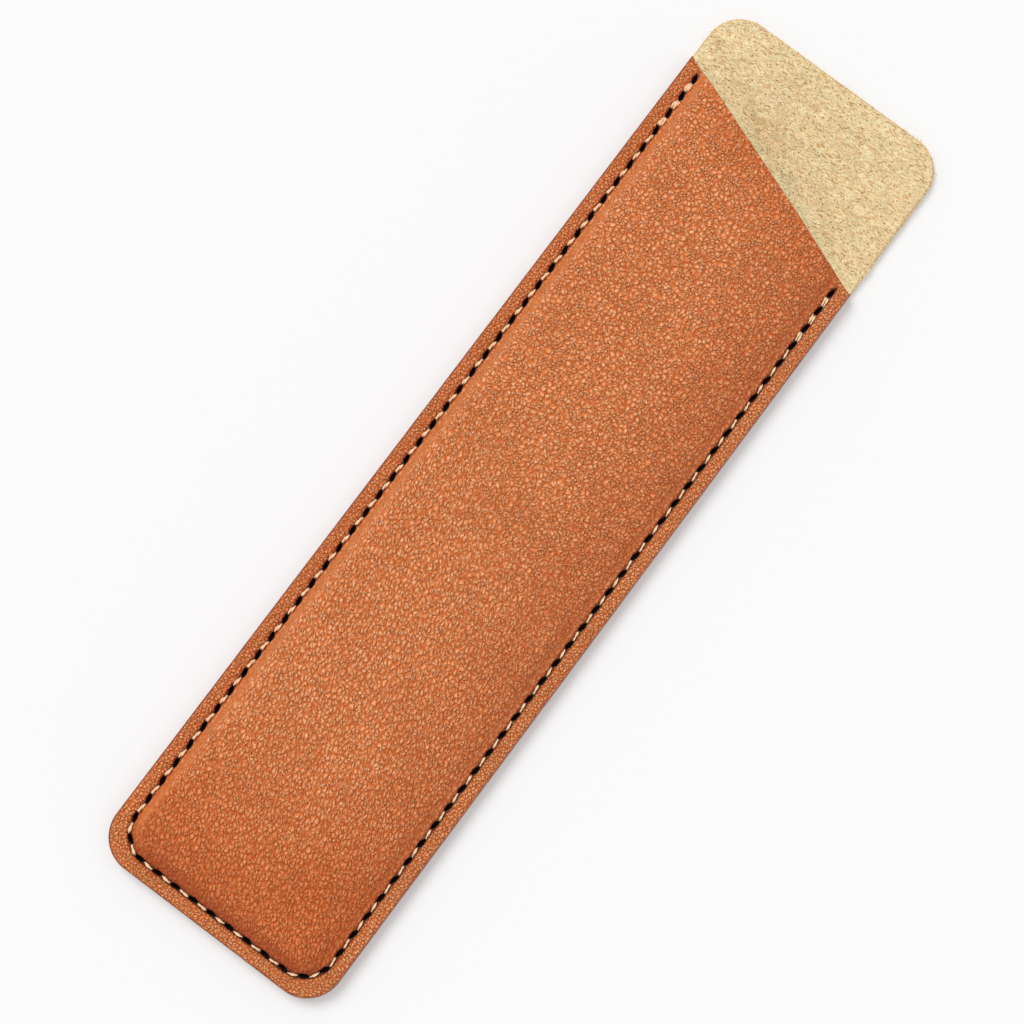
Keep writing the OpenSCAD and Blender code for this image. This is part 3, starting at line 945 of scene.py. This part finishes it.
# Painted shade in the fold beside the channel
tone = hide.mix(hide.math("MULTIPLY", fold_shade_at, 0.74), tone, FOLD_SHADE)
# Painted shade in the channel beside the stitches
tone = hide.mix(hide.math("MULTIPLY", channel_shade_at, 0.75), tone, CHANNEL_SHADE)
# Painted shade in the awl holes, with some dark wax
tone = hide.mix(hide.ramp(pit_at, 0.2, 0.65), tone, HOLE_SHADE_AND_WAX)
calm = hide.math("SUBTRACT", 1.0, hide.math("MULTIPLY", hide.drawn("calm"), 0.75))
height = hide.math("MULTIPLY", hide.math("ADD", dome, hide.math("MULTIPLY", pores, 0.25)), calm)
hide.set(hide.shader, Base_Color=tone, Specular_IOR_Level=0.28)
duller = hide.math("ADD", pit_at, hide.math("MULTIPLY", shade_and_darkening_at, 0.2))
hide.set(hide.shader, Roughness=hide.math("ADD", hide.ramp(pores, 0.3, 0.7, 0.28, 0.4), duller))
hide.set(hide.shader, Normal=hide.bump(height, 0.45, 1.0))
front.data.materials.append(hide.material)
print(f"grain leather: {len(hide.tree.nodes)} nodes")

# %% [markdown]
# ## Flesh side
# The inside of a hide is loose fibre, paler than the grain, with short dark dashes of painted shade
# where the fibres part, and small brown specks. The dashes are noise that is squeezed across the
# sleeve and then pushed about, so that they lie mostly one way but never in rows. Paler hairs and a
# second set of dashes, also painted shade, cross them at a small angle. The roughness leaves hardly
# any gloss. The same material also colours the smooth grain side, which faces the table.

# %% Flesh side
FLUFF_LOW, FLUFF_HIGH = colour(255, 226, 168), colour(255, 241, 196)
GAP_SHADE, CROSSING_GAP_SHADE, PALE_HAIR = colour(216, 150, 80), colour(206, 146, 84), colour(255, 236, 194)
STAIN, PAINTED_LIGHT_BY_MOUTH, SPECK = colour(214, 160, 92), colour(255, 240, 186), colour(150, 100, 56)
UNDER_LOW, UNDER_HIGH = colour(190, 112, 66), colour(212, 132, 84)

flesh = Net("flesh_side")
swirl = flesh.warped(0.35, 0.8)
dash = flesh.noise(2.0, 2.0, swirl, stretch=(0.55, 2.6, 1.0))
hair = flesh.noise(2.2, 2.0, swirl, stretch=(0.5, 2.4, 1.0), turn=0.3)
fluff = flesh.noise(3.0, 4.0)
crossing = flesh.noise(3.6, 2.0, swirl, stretch=(0.5, 2.4, 1.0), turn=-0.5)
tone = flesh.mix(flesh.ramp(fluff, 0.3, 0.7), FLUFF_LOW, FLUFF_HIGH)
# Painted shade in the gaps where the fibres part, in two sets of dashes
tone = flesh.mix(flesh.ramp(dash, 0.53, 0.62, 0.0, 0.68), tone, GAP_SHADE)
tone = flesh.mix(flesh.ramp(crossing, 0.54, 0.64, 0.0, 0.45), tone, CROSSING_GAP_SHADE)
tone = flesh.mix(flesh.ramp(hair, 0.54, 0.66, 0.0, 0.75), tone, PALE_HAIR)
stained = flesh.math("MULTIPLY", flesh.drawn("stain"), flesh.ramp(fluff, 0.35, 0.6, 0.0, 0.6))
tone = flesh.mix(stained, tone, STAIN)
# Painted light on the tab beside the mouth
tone = flesh.mix(flesh.math("MULTIPLY", flesh.drawn("painted_light_by_mouth"), 0.8), tone, PAINTED_LIGHT_BY_MOUTH)
tone = flesh.mix(flesh.ramp(flesh.cells(1.5), 0.11, 0.05, 0.0, 0.8), tone, SPECK)
under_tone = flesh.mix(flesh.ramp(fluff, 0.3, 0.7), UNDER_LOW, UNDER_HIGH)
lay = flesh.math("SUBTRACT", hair, dash)
height = flesh.math("ADD", lay, flesh.math("MULTIPLY", fluff, 0.4))
flesh.set(flesh.shader, Roughness=0.9, Specular_IOR_Level=0.3)
flesh.set(flesh.shader, Base_Color=flesh.mix(flesh.drawn("grain_side"), tone, under_tone))
flesh.set(flesh.shader, Normal=flesh.bump(height, 0.42, 0.9))
back.data.materials.append(flesh.material)

fluffy = Net("loose_fibre")
fluffy.set(fluffy.shader, Roughness=0.85, Specular_IOR_Level=0.15)
brown_at = fluffy.ramp(fluffy.drawn("brown"), 0.6, 1.0)
fibre_tone = fluffy.mix(brown_at, colour(255, 234, 190), colour(204, 156, 98))
fluffy.set(fluffy.shader, Base_Color=fibre_tone)
fibres.data.materials.append(fluffy.material)
print(f"flesh side: {len(flesh.tree.nodes)} nodes, loose fibre: {len(fluffy.tree.nodes)} nodes")

# %% [markdown]
# ## Thread, edge and cement
# Waxed linen is cream, with fine fibres along each ply and hardly any gloss, and where it dives
# into a hole it gets painted shade. The edge is dark dye under wax, worn lighter in places. Beside
# the tab it is bare and paler. The cement is a dull amber film that hardly shows.

# %% Thread, edge and cement
linen = Net("waxed_linen")
lint = linen.noise(9.0, 3.0)
linen.set(linen.shader, Roughness=0.7, Specular_IOR_Level=0.06)
linen_tone = linen.mix(linen.ramp(lint, 0.3, 0.7), colour(240, 198, 152), colour(255, 230, 196))
# Painted shade on the thread inside the holes
linen.set(linen.shader, Base_Color=linen.mix(linen.drawn("shade_in_hole"), linen_tone, colour(6, 3, 2)))
linen.set(linen.shader, Normal=linen.bump(lint, 0.04, 0.6))
thread.data.materials.append(linen.material)

dyed = Net("dyed_edge")
wear = dyed.noise(1.6, 4.0)
dyed.set(dyed.shader, Roughness=0.42, Specular_IOR_Level=0.45)
dyed_tone = dyed.mix(dyed.ramp(wear, 0.35, 0.7), colour(126, 58, 32), colour(168, 88, 48))
bare_tone = dyed.mix(dyed.ramp(wear, 0.3, 0.7), colour(196, 152, 102), colour(228, 192, 140))
dyed.set(dyed.shader, Base_Color=dyed.mix(dyed.drawn("bare"), dyed_tone, bare_tone))
dyed.set(dyed.shader, Normal=dyed.bump(wear, 0.06, 0.5))
band.data.materials.append(dyed.material)

glue = Net("contact_cement")
film = glue.ramp(glue.noise(1.2, 3.0), 0.3, 0.7)
glue.set(glue.shader, Roughness=0.6)
glue.set(glue.shader, Base_Color=glue.mix(film, colour(190, 150, 90), colour(214, 178, 120)))
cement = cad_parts["seam_cement"]
cement.data.materials.clear()
cement.data.materials.append(glue.material)
print("materials:", sorted(net.material.name for net in (hide, flesh, fluffy, linen, dyed, glue)))

# %% [markdown]
# ## Floor and light
# The sleeve lies on a white sheet. One far lamp, which looks as wide as a large window, shines from
# the upper left of the picture and gives the crown its shading and the right-hand shadow. The world
# fills the rest. Whatever is seen, straight, in a gloss or through glass, gets other values than
# the light that travels from thing to thing: there the sheet is a little darker but glows, and the
# backdrop is near white. This keeps the sheet white without more light on the leather.


# %% Floor and light
def seen_rays(tree):
    """1 for what is seen, straight, in a gloss or through glass, and 0 for light on its way."""
    rays = tree.nodes.new("ShaderNodeLightPath").outputs
    seen = rays["Is Camera Ray"]
    for ray in ("Is Glossy Ray", "Is Transmission Ray"):
        either = tree.nodes.new("ShaderNodeMath")
        either.operation = "MAXIMUM"
        tree.links.new(seen, either.inputs[0])
        tree.links.new(rays[ray], either.inputs[1])
        seen = either.outputs[0]
    return seen


SHEET_SIZE, SHEET_GAP = 20.0, 0.02
SHEET_LIT, SHEET_SEEN, GLOW = (0.82, 0.82, 0.82, 1), (0.69, 0.69, 0.69, 1), 0.22
WHITE = (1, 1, 1, 1)
LIGHT_WAY = Vector((0.70, -0.26, -1.0)).normalized()
LAMP_WIDTH, LAMP_POWER = math.radians(34), 1.72

bpy.ops.mesh.primitive_plane_add(size=SHEET_SIZE, location=(0, 0, -SHEET_GAP * MM))
floor = bpy.context.active_object
floor.name = "floor"
sheet = Net("white_floor")
sheet.set(sheet.shader, Roughness=0.9, Specular_IOR_Level=0.1)
seen = seen_rays(sheet.tree)
sheet.set(sheet.shader, Base_Color=sheet.mix(seen, SHEET_LIT, SHEET_SEEN))
glow = sheet.math("MULTIPLY", seen, GLOW)
sheet.set(sheet.shader, Emission_Color=WHITE, Emission_Strength=glow)
floor.data.materials.append(sheet.material)

lamp = bpy.data.objects.new("key_lamp", bpy.data.lights.new("key_lamp", "SUN"))
lamp.data.angle = LAMP_WIDTH
lamp.data.energy = LAMP_POWER
lamp.location = -LIGHT_WAY
lamp.rotation_euler = LIGHT_WAY.to_track_quat("-Z", "Y").to_euler()
bpy.context.scene.collection.objects.link(lamp)
print("lamp direction", [round(v, 2) for v in LIGHT_WAY])

# %% The room round it
FILL, BACKDROP = 0.64, 0.95
world = bpy.data.worlds.new("studio")
world.use_nodes = True
nodes, links = world.node_tree.nodes, world.node_tree.links
fill, backdrop = nodes["Background"], nodes.new("ShaderNodeBackground")
for shade, strength in ((fill, FILL), (backdrop, BACKDROP)):
    shade.inputs["Color"].default_value = WHITE
    shade.inputs["Strength"].default_value = strength
seen = seen_rays(world.node_tree)
choose = nodes.new("ShaderNodeMixShader")
for socket, source in zip(choose.inputs, (seen, fill.outputs[0], backdrop.outputs[0])):
    links.new(source, socket)
links.new(choose.outputs[0], nodes["World Output"].inputs["Surface"])
bpy.context.scene.world = world
bpy.context.scene.view_settings.view_transform = "Standard"
print("lit from the upper left")
